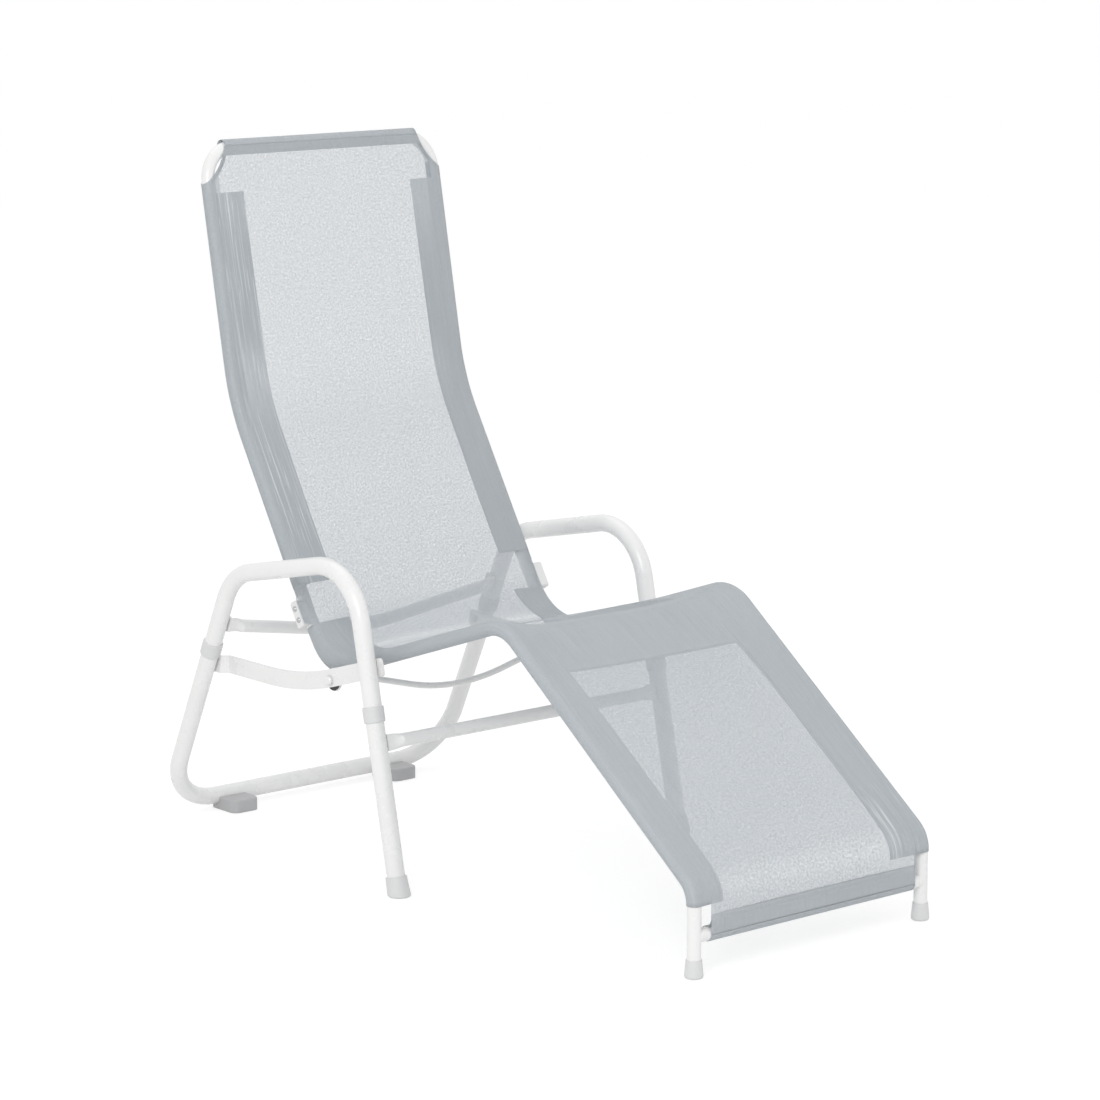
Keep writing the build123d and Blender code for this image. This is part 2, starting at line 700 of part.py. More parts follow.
with BuildPart() as pivot_lug:
    with BuildSketch(Plane(origin=at(-half_seat + lug_inner_end, pivot), z_dir=(-1, 0, 0))) as boss:
        Circle(lug_d / 2)
    extrude(boss.sketch, amount=lug_outer_end - half_seat + lug_inner_end)
    drill_x(-lug_outer_end - cut_over, -lug_outer_end + pivot_bolt_grip, pivot, pivot_hole_d)
    sweep_round(rail_corners, rail_radii, rail_d, mode=Mode.SUBTRACT)
save_pair(pivot_lug, "pivot_lug")

with BuildPart() as pivot_disc:
    with BuildSketch(Plane(origin=at(-lug_outer_end, pivot), z_dir=(-1, 0, 0))) as disc:
        Circle(disc_d / 2)
        Circle(pivot_hole_d / 2, mode=Mode.SUBTRACT)
    extrude(disc.sketch, amount=disc_t)
    fillet(pivot_disc.edges().group_by(Axis.X)[0].sort_by(SortBy.LENGTH)[-1], disc_round)
save_pair(pivot_disc, "pivot_disc")

with BuildPart() as pivot_washer:
    with BuildSketch(Plane(origin=at(-lug_outer_end - disc_t, pivot), z_dir=(-1, 0, 0))) as washer:
        Circle(washer_d / 2)
        Circle(pivot_hole_d / 2, mode=Mode.SUBTRACT)
    extrude(washer.sketch, amount=washer_t)
save_pair(pivot_washer, "pivot_washer")

with BuildPart() as pivot_bolts:
    for side in (-1, 1):
        head_face = strap_outer_face + bush_flange_t + axial_play
        end = lug_outer_end - pivot_bolt_grip + cut_over / 2
        add_screw(side * head_face, side * end, pivot, pivot_bolt_d, pivot_head_d, pivot_head_t)
save(pivot_bolts.part, "pivot_bolts")

# The thin stretcher, coped to the inner sides of the rails
stretcher_reach = pivot_reach + stretcher_behind
stretcher_height = pivot_height + stretcher_above
stretcher_end = (stretcher_reach, stretcher_height)
stretcher_low = (stretcher_reach + stretcher_back, stretcher_height - stretcher_drop)
with BuildPart() as stretcher:
    stretcher_corners = [
        at(-half_seat, stretcher_end),
        at(0, stretcher_low),
        at(half_seat, stretcher_end),
    ]
    sweep_round(stretcher_corners, [stretcher_bend_r], stretcher_d)
    for side in (-1, 1):
        rail_here = [Vector(side * abs(point.X), point.Y, point.Z) for point in rail_corners]
        sweep_round(rail_here, rail_radii, rail_d, mode=Mode.SUBTRACT)
        rod_end = half_seat - lug_inner_end - axial_play
        with BuildSketch(side_view(side * rod_end)) as beyond:
            with Locations(stretcher_end):
                Circle(stretcher_d)
        extrude(beyond.sketch, amount=side * rail_d, mode=Mode.SUBTRACT)
save(stretcher.part, "stretcher")

# Stop pads: blocks saddled on the outer side of the rails, clear of the straps
pad_out = strap_inner_face - half_seat - rail_r - pad_gap
with BuildPart() as stop_pad:
    pad_plane = Plane(origin=at(-half_seat, splice), x_dir=back_axis, z_dir=(-1, 0, 0))
    with BuildSketch(pad_plane) as pad:
        RectangleRounded(pad_length, pad_height, pad_round)
    extrude(pad.sketch, amount=rail_r + pad_out)
    with BuildSketch(splice_plane(-pad_length)) as saddle:
        Circle(rail_r)
    extrude(saddle.sketch, amount=2 * pad_length, mode=Mode.SUBTRACT)
    for screw_at in (bow_screw_at, rail_screw_at):
        drill_x(-half_seat, -half_seat - rail_r - pad_out - cut_over, screw_at, screw_hole_d)
save_pair(stop_pad, "stop_pad")

with BuildPart() as pad_screws:
    for side in (-1, 1):
        for screw_at in (bow_screw_at, rail_screw_at):
            head_face = half_seat + rail_r + pad_out
            end = half_seat + rail_r - pad_screw_grip
            sizes = (pad_screw_d, pad_screw_head_d, pad_screw_head_t)
            add_screw(side * head_face, side * end, screw_at, *sizes)
save(pad_screws.part, "pad_screws")

# Sling. The pockets are rods round the rails, hollowed last of all.
pocket_inner = rail_r + sling_clearance
pocket_outer = pocket_inner + sling_t
sheet_near = pocket_inner + sling_lift
sheet_far = sheet_near + sling_t
sheet_half = half_seat + gusset_out + sling_t / 2
sling_seat_r = sling_seat_bend_r + sheet_far
strip_inner_half = half_seat - strip_inset
strip_top_height = head_corner[1] - strip_top_drop
strip_gap_top = splice_height + strip_gap_above
strip_gap_bottom = splice_height - strip_gap_below
gap_edge_half = half_seat - gap_edge_inset
corner_cut_chord = sqrt(corner_cut_r**2 - corner_cut_up**2)
head_hem_half = half_seat + corner_cut_out - corner_cut_chord - head_hem_margin
foot_hem_half = half_seat - foot_hem_inset
foot_hem_height = foot_bar_height + foot_hem_rise
pocket_end_height = foot_bar_height + pocket_end_rise
web_root = rail_r - web_overlap
frame_route = [at(-half_seat, (0, foot_bar_height)), at(-half_seat, foot_corner)]
side_corners = (knee_corner, seat_corner, lumbar_corner, head_corner)
frame_route += [at(-half_seat, corner) for corner in side_corners]
frame_route += [Vector(-point.X, point.Y, point.Z) for point in reversed(frame_route)]
frame_radii = [foot_bend_r, knee_bend_r, seat_bend_r, lumbar_bend_r, head_corner_r]
frame_radii += frame_radii[::-1]
sheet_route = [(0, foot_bar_height), foot_corner, knee_corner, seat_corner, lumbar_corner, head_corner]
sheet_radii = [foot_bend_r, knee_bend_r, sling_seat_r, lumbar_bend_r]
strip_route = [(0, pocket_end_height)] + sheet_route[1:-1] + [
    along(lumbar_corner, head_corner, (strip_top_height - lumbar_corner[1]) / head_rise)
]


def cut_beyond(corners, inner_half):
    """Cuts away all that lies outside a half width along a straight run."""
    for side in (-1, 1):
        with BuildSketch(side_view(side * inner_half)) as zone:
            add_band(corners, -2 * rail_d, 2 * rail_d)
        extrude(zone.sketch, amount=side * half_seat, mode=Mode.SUBTRACT)


def add_layer(corners, radii, low_x, high_x, near, far):
    """A layer of sheet along a route, between two places across."""
    with BuildSketch(side_view(low_x)) as layer:
        add_band(corners, near, far, far_radii=radii)
    extrude(layer.sketch, amount=high_x - low_x)


upper_back_axis = (at(0, head_corner) - at(0, lumbar_corner)).normalized()
gap_route = [lower_back_at(strip_gap_bottom), lower_back_at(strip_gap_top)]
foot_route = [(0, 0), (0, pocket_end_height)]
head_normal = upper_back_axis.cross(Vector(-1, 0, 0))
head_plane = Plane(origin=at(0, head_corner), x_dir=(1, 0, 0), z_dir=head_normal)
with BuildPart() as sling:
    sweep_round(frame_route, frame_radii, 2 * pocket_outer)
    strip_half = half_seat - strip_seat_edge
    strip_width = strip_half - strip_inner_half
    for low_x in (-strip_half, strip_inner_half):
        add_layer(strip_route, sheet_radii, low_x, low_x + strip_width, sheet_near - sling_t, sheet_near)
    cut_beyond(gap_route, strip_inner_half - sling_t)
    cut_beyond(foot_route, foot_hem_half)
    # The sheet itself, and the webs that carry it where it leaves the rails
    add_layer(sheet_route, sheet_radii, -half_seat, half_seat, sheet_near, sheet_far)
    web_route = [along(seat_corner, knee_corner, web_share), seat_corner, lower_back_at(strip_gap_top)]
    roof_width = sheet_half - half_seat + sling_t
    for low_x in (-sheet_half, half_seat - sling_t):
        add_layer(web_route, [sling_seat_r], low_x, low_x + roof_width, sheet_near, sheet_far)
    inner_web = half_seat - gusset_out + sling_t / 2
    for low_x in (-sheet_half, -inner_web, inner_web - sling_t, sheet_half - sling_t):
        with BuildSketch(side_view(low_x)) as web:
            add_band(web_route, web_root, sheet_near, [seat_bend_r], [sling_seat_r])
        extrude(web.sketch, amount=sling_t)
    # Doubled zones: under the knee, at the head and round the foot bar
    knee_route = [along(foot_corner, knee_corner, 1 - knee_band_ahead / leg_reach), knee_corner]
    knee_route.append(along(knee_corner, seat_corner, knee_band_behind / seat_reach))
    band_near = sheet_near - sling_t
    add_layer(knee_route, [knee_bend_r], -strip_half, strip_half, band_near, sheet_near)
    hem_share = 1 - head_hem_width / head_rise
    head_route = [along(lumbar_corner, head_corner, hem_share), head_corner]
    add_layer(head_route, [], -head_hem_half, head_hem_half, band_near, sheet_near)
    foot_hem_route = [foot_bar_corner, (0, foot_hem_height)]
    add_layer(foot_hem_route, [], -foot_hem_half, foot_hem_half, band_near, sheet_near)
    with BuildSketch(Plane(origin=at(-foot_hem_half, foot_bar_corner), z_dir=(1, 0, 0))) as foot_hem:
        Circle(pocket_outer)
    extrude(foot_hem.sketch, amount=2 * foot_hem_half)
    # Cuts: the gap by the splices, the foot corners, the head corners and the pivots
    cut_beyond(gap_route, gap_edge_half)
    cut_beyond(foot_route, foot_hem_half)
    for side in (-1, 1):
        with BuildSketch(head_plane.offset(-rail_d)) as corner_cut:
            with Locations((side * (half_seat + corner_cut_out), corner_cut_up)):
                Circle(corner_cut_r)
        extrude(corner_cut.sketch, amount=2 * rail_d, mode=Mode.SUBTRACT)
        drill_x(side * gap_edge_half, side * (half_seat + rail_d), pivot, 2 * pivot_notch_r)
    sweep_round(frame_route, frame_radii, 2 * pocket_inner, mode=Mode.SUBTRACT)
    drill_x(-half_seat, half_seat, foot_bar_corner, 2 * pocket_inner)
save(sling.part, "sling")
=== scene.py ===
import json
from collections import namedtuple
from math import acos, asin, atan2, cos, exp, hypot, pi, radians, sin, tan

import bmesh
import bpy
from mathutils import Matrix, Vector, noise


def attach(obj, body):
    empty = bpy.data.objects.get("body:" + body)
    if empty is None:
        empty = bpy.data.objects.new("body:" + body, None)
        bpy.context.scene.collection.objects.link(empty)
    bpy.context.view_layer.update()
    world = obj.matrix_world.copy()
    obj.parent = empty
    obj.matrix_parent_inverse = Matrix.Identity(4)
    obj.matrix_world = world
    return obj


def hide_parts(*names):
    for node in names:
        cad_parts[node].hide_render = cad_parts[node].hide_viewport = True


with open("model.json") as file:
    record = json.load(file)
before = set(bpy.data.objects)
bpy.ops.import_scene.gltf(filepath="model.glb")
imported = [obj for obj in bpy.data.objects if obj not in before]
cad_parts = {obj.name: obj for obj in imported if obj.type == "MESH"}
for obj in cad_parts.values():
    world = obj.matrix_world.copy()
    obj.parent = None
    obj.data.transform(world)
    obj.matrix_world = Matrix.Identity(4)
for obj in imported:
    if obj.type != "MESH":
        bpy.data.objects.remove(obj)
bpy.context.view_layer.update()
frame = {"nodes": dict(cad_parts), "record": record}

# Side view of the seat frame, in metres: (reach from the foot legs, height)
MID = 0.64669                # the foot legs stand this far ahead of the origin
HALF = 0.2417                # rail axis from the middle
RAIL = 0.011                 # rail radius
FOOT = (0.0, 0.064)          # axis of the foot bar
ANKLE = (0.0, 0.136)
KNEE = (0.446, 0.136 + 0.446 * tan(radians(36.8)))
SEAT = (0.9015, KNEE[1] - 0.4555 * tan(radians(18.65)))
LUMBAR = (SEAT[0] + 0.4235 * tan(radians(31.2)), SEAT[1] + 0.4235)
HEAD = (LUMBAR[0] + 0.426 * tan(radians(10.95)), LUMBAR[1] + 0.426)
CORNERS = [FOOT, ANKLE, KNEE, SEAT, LUMBAR, HEAD]
RAIL_BENDS = [0.045, 0.075, 0.075, 0.36]
SHEET_BENDS = [0.045, 0.075, 0.1306, 0.36]   # the sheet bridges the seat's bend


class Route:
    """Straight runs joined by round bends, measured along its length."""

    def __init__(self, corners, bends):
        points = [Vector(c) for c in corners]
        self.parts = []
        start = points[0]
        for before, corner, after, bend in zip(points, points[1:], points[2:], bends):
            into = (corner - before).normalized()
            out = (after - corner).normalized()
            turn = atan2(into.x * out.y - into.y * out.x, into.dot(out))
            cut = bend * tan(abs(turn) / 2)
            self.parts.append(("run", start, into, (corner - into * cut - start).length, 0))
            self.parts.append(("bend", corner - into * cut, into, bend * abs(turn), turn))
            start = corner + out * cut
        last = (points[-1] - points[-2]).normalized()
        self.parts.append(("run", start, last, (points[-1] - start).length, 0))
        self.length = sum(p[3] for p in self.parts)

    def at(self, s):
        """The point, the direction and the side facing the sitter at a length s."""
        for kind, start, way, size, turn in self.parts:
            if s <= size or (kind, start) == (self.parts[-1][0], self.parts[-1][1]):
                if kind == "run":
                    point = start + way * s
                else:
                    share = turn * s / size
                    bend = size / turn
                    side = Vector((-way.y, way.x))
                    point = start + way * (bend * sin(share)) + side * (bend * (1 - cos(share)))
                    turned_x = way.x * cos(share) - way.y * sin(share)
                    turned_y = way.x * sin(share) + way.y * cos(share)
                    way = Vector((turned_x, turned_y))
                return point, way, Vector((-way.y, way.x))
            s -= size
        raise ValueError(s)

    def nearest(self, point):
        """The length at which the route passes closest to a point."""
        best = min(range(401), key=lambda i: (self.at(self.length * i / 400)[0] - point).length)
        low = self.length * max(best - 1, 0) / 400
        high = self.length * min(best + 1, 400) / 400
        for _ in range(30):
            a, b = low + (high - low) / 3, high - (high - low) / 3
            if (self.at(a)[0] - point).length < (self.at(b)[0] - point).length:
                high = b
            else:
                low = a
        return (low + high) / 2


sheet_route = Route(CORNERS, SHEET_BENDS)
rail_route = Route(CORNERS, RAIL_BENDS)


def length_at(part):
    """Length along the sheet's route at the middle of one of its parts."""
    return sum(p[3] for p in sheet_route.parts[:part]) + 0.5 * sheet_route.parts[part][3]


def length_at_height(height, low, high):
    """Length where the route passes a height, searched between two lengths."""
    rising = sheet_route.at(high)[0].y > sheet_route.at(low)[0].y
    for _ in range(40):
        middle = (low + high) / 2
        if (sheet_route.at(middle)[0].y < height) == rising:
            low = middle
        else:
            high = middle
    return low


def length_at_reach(reach, low, high):
    """Length where the route passes a reach, searched between two lengths."""
    for _ in range(40):
        middle = (low + high) / 2
        if sheet_route.at(middle)[0].x < reach:
            low = middle
        else:
            high = middle
    return low


# Marks along the sheet, as lengths from the foot bar
S_ANKLE, S_KNEE, S_SEAT, S_LUMBAR = (length_at(i) for i in (1, 3, 5, 7))
S_POCKET_END = length_at_height(0.112, 0, S_ANKLE)
S_GAP_LOW = length_at_height(0.387, S_SEAT, S_LUMBAR)
S_GAP_HIGH = length_at_height(0.449, S_SEAT, S_LUMBAR)
S_STRIP_TOP = length_at_height(1.088, S_LUMBAR, sheet_route.length)
S_BAND = (length_at_reach(0.3505, S_ANKLE, S_KNEE), length_at_reach(0.500, S_KNEE, S_SEAT))
S_WING_END = S_GAP_LOW + 0.052
EASE = 0.005                 # length over which an edge comes in
HEAD_HEM = 0.0165
FOOT_HEM = 0.032

# The sheet over the rails
FRONT = RAIL + 0.0010        # middle of the front layer over the rails' axes
LAYER = 0.0010               # from one layer's middle to the next
CLOTH_T = 0.0005             # thickness of one layer
RIPPLE_X = (0.182, 0.230)    # the wrinkled zone of a folded strip
RIPPLE_PITCH = 0.0095


def bump_at(distance, width):
    """1 at no distance, fading to 0 over about twice the width."""
    return exp(-((distance / width) ** 2))


def slack(s, x):
    """How far the stretched sheet leaves the plane of the rails, towards the sitter."""
    across = 1 - min(abs(x) / HALF, 1) ** 3.6
    knee = -0.022 * bump_at(s - S_KNEE, 0.13)
    seat = 0.010 * bump_at(s - S_SEAT, 0.16)
    lumbar = 0.006 * bump_at(s - S_LUMBAR, 0.2)
    ankle = -0.005 * bump_at(s - S_ANKLE, 0.05)
    return across * (knee + seat + lumbar + ankle)


def ripple(s, x):
    """Small lengthwise wrinkles in the folded strips."""
    edge = abs(x)
    if not RIPPLE_X[0] < edge < RIPPLE_X[1]:
        return 0.0
    window = min((edge - RIPPLE_X[0]) / 0.008, (RIPPLE_X[1] - edge) / 0.008, 1)
    side = 3.0 if x > 0 else 0.0
    wander = noise.noise(Vector((side, s * 3.1, 0.7)))
    strength = max(noise.noise(Vector((side + 5, s * 6.0, edge * 40))) + 0.25, 0)
    size = 0.00022 + 0.0007 * bump_at(s - S_ANKLE, 0.05)
    return size * window * strength * sin(2 * pi * edge / RIPPLE_PITCH + 5 * wander)


def front_height(s, x):
    """Height of the front layer over the rails' axes."""
    return FRONT + slack(s, x) + ripple(s, x)


def place(s, x, height):
    """A point beside the rails: length s, place across x, height over the rail's axis."""
    centre, _, side = sheet_route.at(s)
    point = centre + side * height
    return Vector((x, point.x - MID, point.y))


# A corner of the sheet: its point, length s, girth v and place across x
Cell = namedtuple("Cell", "point s v x")

# Columns of half the cross-section: folded flap, turn round the rail, front layer
FLAP_X = [0.180, 0.183] + [0.186 + 0.0025 * i for i in range(16)]
FRONT_X = [0.2395, 0.2370, 0.2345, 0.2320, 0.2295] + [0.2270 - 0.0025 * i for i in range(4)]
FRONT_X += [0.2170, 0.2145, 0.2120, 0.2095, 0.2070] + [0.2045 - 0.0025 * i for i in range(9)]
FRONT_X += [0.1815, 0.1800, 0.1750, 0.1690] + [0.1690 * (1 - i / 12) for i in range(1, 12)]
ROUND_ANGLES = [150 + 13.1 * i for i in range(20)] + [412, 425, 438, 450]
ROUND_R = RAIL + 0.0009
SHOULDER = 412               # from this angle on the turn lies on the rail's front
OUTSIDE = 330                # from this angle on it lies on the rail's outer side
STRIP_EDGE = 0.1801
# Where the columns of those angles go over the near stop pad: (out, height)
WING = {412: (0.0243, 0.0104), 425: (0.0180, 0.0107), 438: (0.0110, 0.0113), 450: (0.0, FRONT)}
# How much further in the folded strips' inner edges lie on the leg run
FOLD_SHIFT = {-1: 0.012, 1: -0.015}


def fold_x(x, s, side):
    """Place across of a column: on the leg run the folded strips differ in width."""
    reach = 1 - min(max((s - S_KNEE) / (S_SEAT - S_KNEE), 0), 1)
    near = min((0.213 - x) / 0.033, (x - 0.10) / 0.080)
    return x + FOLD_SHIFT[side] * reach * max(near, 0)


def wing_share(s):
    """In the near splice gap the sheet lies over the front of the stop pad."""
    return min(max(min(s - S_GAP_LOW, S_WING_END + EASE - s) / EASE, 0), 1)


def section(s, side):
    """Half the sling's cross-section at a length: columns of (x, height), and the kind
    of cloth between each column and the next."""
    centre, _, facing = sheet_route.at(s)
    rail_point = rail_route.at(rail_route.nearest(centre))[0]
    lift = max((centre - rail_point).dot(facing), 0.0)
    flap = [fold_x(x, s, side) for x in FLAP_X]
    columns = [(x, front_height(s, x) - LAYER) for x in flap]
    kinds = ["flap"] * len(FLAP_X)
    for angle in ROUND_ANGLES:
        rise = ROUND_R * sin(radians(angle))
        if rise > 0:
            rise *= 1 + lift / ROUND_R
        out, rise = ROUND_R * cos(radians(angle)), rise - lift
        if side < 0 and angle in WING:
            share = wing_share(s)
            out += (WING[angle][0] - out) * share
            rise += (WING[angle][1] - rise) * share
        columns.append((HALF + out, rise))
        if angle >= SHOULDER:
            kinds.append("shoulder")
        else:
            kinds.append("outside" if angle > OUTSIDE else "round")
    columns += [(x, front_height(s, x)) for x in (fold_x(x, s, side) for x in FRONT_X)]
    kinds += ["strip" if x > STRIP_EDGE else "front" for x in FRONT_X]
    return columns + [(0.0, front_height(s, 0.0))], kinds


CLOSEST = 0.0016             # least length between two cross-sections


def stations():
    """Lengths of the cross-sections, closer in bends and at the head's corner cuts."""
    fixed = (0.0, FOOT_HEM, S_POCKET_END, *S_BAND, S_GAP_LOW, S_GAP_LOW + EASE, S_WING_END)
    fixed += (S_WING_END + EASE, S_GAP_HIGH, S_STRIP_TOP)
    fixed += (sheet_route.length - HEAD_HEM, sheet_route.length)
    marks = {(s, 1) for s in fixed}
    at = 0.0
    for kind, _, _, size, _ in sheet_route.parts:
        count = max(int(size / (0.012 if kind == "run" else 0.006)), 4)
        marks |= {(at + size * i / count, 0) for i in range(count + 1)}
        at += size
    marks |= {(sheet_route.length - 0.0035 * i, 0) for i in range(22)}
    marks |= {(0.0035 * i, 0) for i in range(10)}
    kept = []
    for s, held in sorted(marks):
        if kept and s - kept[-1] < CLOSEST:
            if held:
                kept[-1] = s
            continue
        kept.append(s)
    return kept


# Round cuts at the head's corners, and the pockets' notches at the pivots
CUT_X = HALF + 0.0626
CUT_S = sheet_route.length + 0.0247
CUT_R = 0.100
CUT_ZONE = 0.12              # the cuts lie this near the head end
PIVOT = Vector((0.852, 0.316))
NOTCH_R = 0.018
FOOT_FLAP_X = 0.2171         # the sheet ends here below the pockets
HEAD_POCKET_X = 0.2262       # above the strips only the pocket is doubled


def in_corner_cut(cell):
    """Above zero inside the round cut at a head corner."""
    return CUT_R - hypot(abs(cell.x) - CUT_X, cell.s - CUT_S)


def in_pivot_notch(cell):
    """Above zero inside the notch that clears a pivot."""
    return NOTCH_R - (Vector((cell.point.y + MID, cell.point.z)) - PIVOT).length


def cut_away(s, x, kind):
    """Where whole cells of the sling are missing: splice gaps, foot and strip ends."""
    if S_GAP_LOW < s < S_GAP_HIGH:
        return kind in ("flap", "round") or (kind == "outside" and s < S_WING_END + EASE)
    if s < S_POCKET_END:
        return kind in ("flap", "round", "outside", "shoulder") or x > FOOT_FLAP_X
    return s > S_STRIP_TOP and kind == "flap"


def between(a, b, share):
    """The cell at a share of the way from one to another."""
    return Cell(*(p + (q - p) * share for p, q in zip(a, b)))


def clip(polygon, beyond):
    """The part of a polygon of cells where beyond(cell) isn't above zero."""
    kept = []
    for a, b in zip(polygon, polygon[1:] + polygon[:1]):
        a_out, b_out = beyond(a) > 0, beyond(b) > 0
        if not a_out:
            kept.append(a)
        if a_out != b_out:
            low, high = (b, a) if a_out else (a, b)
            near, far = 0.0, 1.0
            for _ in range(24):
                share = (near + far) / 2
                if beyond(between(low, high, share)) > 0:
                    far = share
                else:
                    near = share
            kept.append(between(low, high, near))
    return kept


def new_object(name, bm, materials, smooth=True):
    """An object of its own mesh, linked into the scene."""
    mesh = bpy.data.meshes.new(name)
    bm.to_mesh(mesh)
    bm.free()
    obj = bpy.data.objects.new(name, mesh)
    bpy.context.scene.collection.objects.link(obj)
    for mat in materials:
        mesh.materials.append(mat)
    if smooth:
        for polygon in mesh.polygons:
            polygon.use_smooth = True
    return obj


def cloth_object(name, polygons, materials):
    """A sheet of cloth from polygons of cells with their material's number."""
    bm = bmesh.new()
    uv = bm.loops.layers.uv.new("cloth")
    made = {}
    for polygon, number in polygons:
        corners = []
        for cell in polygon:
            key = tuple(round(c * 1e5) for c in cell.point)
            if key not in made:
                made[key] = bm.verts.new(cell.point)
            if made[key] not in [c[0] for c in corners]:
                corners.append((made[key], cell))
        if len(corners) < 3 or bm.faces.get([c[0] for c in corners]):
            continue
        face = bm.faces.new([c[0] for c in corners])
        face.material_index = number
        for loop, (_, cell) in zip(face.loops, corners):
            loop[uv].uv = (cell.v, cell.s)
    obj = new_object(name, bm, materials)
    body = obj.modifiers.new("thickness", "SOLIDIFY")
    body.thickness = CLOTH_T
    body.offset = 0
    return obj


def rows_to_polygons(rows):
    """Polygons between rows of cells, all of the first material."""
    polygons = []
    for low, high in zip(rows, rows[1:]):
        for j in range(len(low) - 1):
            polygons.append(([low[j], low[j + 1], high[j + 1], high[j]], 0))
    return polygons


# Materials


def material(name):
    """An empty node material and its tree."""
    mat = bpy.data.materials.new(name)
    mat.use_nodes = True
    tree = mat.node_tree
    tree.nodes.clear()
    return mat, tree


def node(tree, kind, values=None, **props):
    """A new node with its properties and the values of its inputs."""
    made = tree.nodes.new(kind)
    for key, value in props.items():
        setattr(made, key, value)
    for key, value in (values or {}).items():
        made.inputs[key].default_value = value
    return made


def join(tree, source, out, target, into):
    """Link an output of one node to an input of another."""
    tree.links.new(source.outputs[out], target.inputs[into])


def mottled(tree, pattern, low, high):
    """Colour between two, as a pattern has it."""
    mix = node(tree, "ShaderNodeMix", data_type="RGBA")
    mix.inputs[6].default_value = (*low, 1)
    mix.inputs[7].default_value = (*high, 1)
    tree.links.new(pattern.outputs["Fac"], mix.inputs[0])
    return mix.outputs[2]


SPECKLE, WEAR = 0.03, 0.05   # how far the coating's colour rises and falls


def coated(name, colour, rough, grain=900.0, bump=0.03, coat=0.0):
    """Painted or moulded surface: faint mottling, fine grain in the relief."""
    mat, tree = material(name)
    out = node(tree, "ShaderNodeOutputMaterial")
    finish = {"Roughness": rough, "Coat Weight": coat, "Coat Roughness": 0.2}
    skin = node(tree, "ShaderNodeBsdfPrincipled", finish)
    where = node(tree, "ShaderNodeTexCoord")
    cloud = node(tree, "ShaderNodeTexNoise", {"Scale": 14.0, "Detail": 4.0, "Roughness": 0.6})
    fine = node(tree, "ShaderNodeTexNoise", {"Scale": grain, "Detail": 2.0})
    join(tree, where, "Object", cloud, "Vector")
    join(tree, where, "Object", fine, "Vector")
    low = [c * (1 - WEAR) for c in colour]
    high = [min(c * (1 + SPECKLE), 1) for c in colour]
    tree.links.new(mottled(tree, cloud, low, high), skin.inputs["Base Color"])
    uneven = {"From Min": 0.3, "From Max": 0.7, "To Min": rough - 0.05, "To Max": rough + 0.07}
    spread = node(tree, "ShaderNodeMapRange", uneven)
    join(tree, cloud, "Fac", spread, "Value")
    join(tree, spread, "Result", skin, "Roughness")
    relief = node(tree, "ShaderNodeBump", {"Strength": bump, "Distance": 0.0004})
    join(tree, fine, "Fac", relief, "Height")
    join(tree, relief, "Normal", skin, "Normal")
    join(tree, skin, "BSDF", out, "Surface")
    return mat


def steel(name):
    """Plated steel with a fine grain."""
    mat, tree = material(name)
    out = node(tree, "ShaderNodeOutputMaterial")
    skin = node(tree, "ShaderNodeBsdfPrincipled", {"Metallic": 1.0, "Roughness": 0.32})
    where = node(tree, "ShaderNodeTexCoord")
    fine = node(tree, "ShaderNodeTexNoise", {"Scale": 400.0, "Detail": 3.0})
    join(tree, where, "Object", fine, "Vector")
    shown = mottled(tree, fine, (0.36, 0.36, 0.37), (0.62, 0.62, 0.63))
    tree.links.new(shown, skin.inputs["Base Color"])
    join(tree, skin, "BSDF", out, "Surface")
    return mat


WEAVE_PITCH = 0.00135
SOFT_EDGE = 0.10             # how gradually a yarn's cover ends at a hole
PULL = 0.035                 # how much the weave closes on the leg and opens on the back
# Colour of the pale highlights painted along the strips' creases
CREASE_HIGHLIGHT = (0.78, 0.81, 0.83)


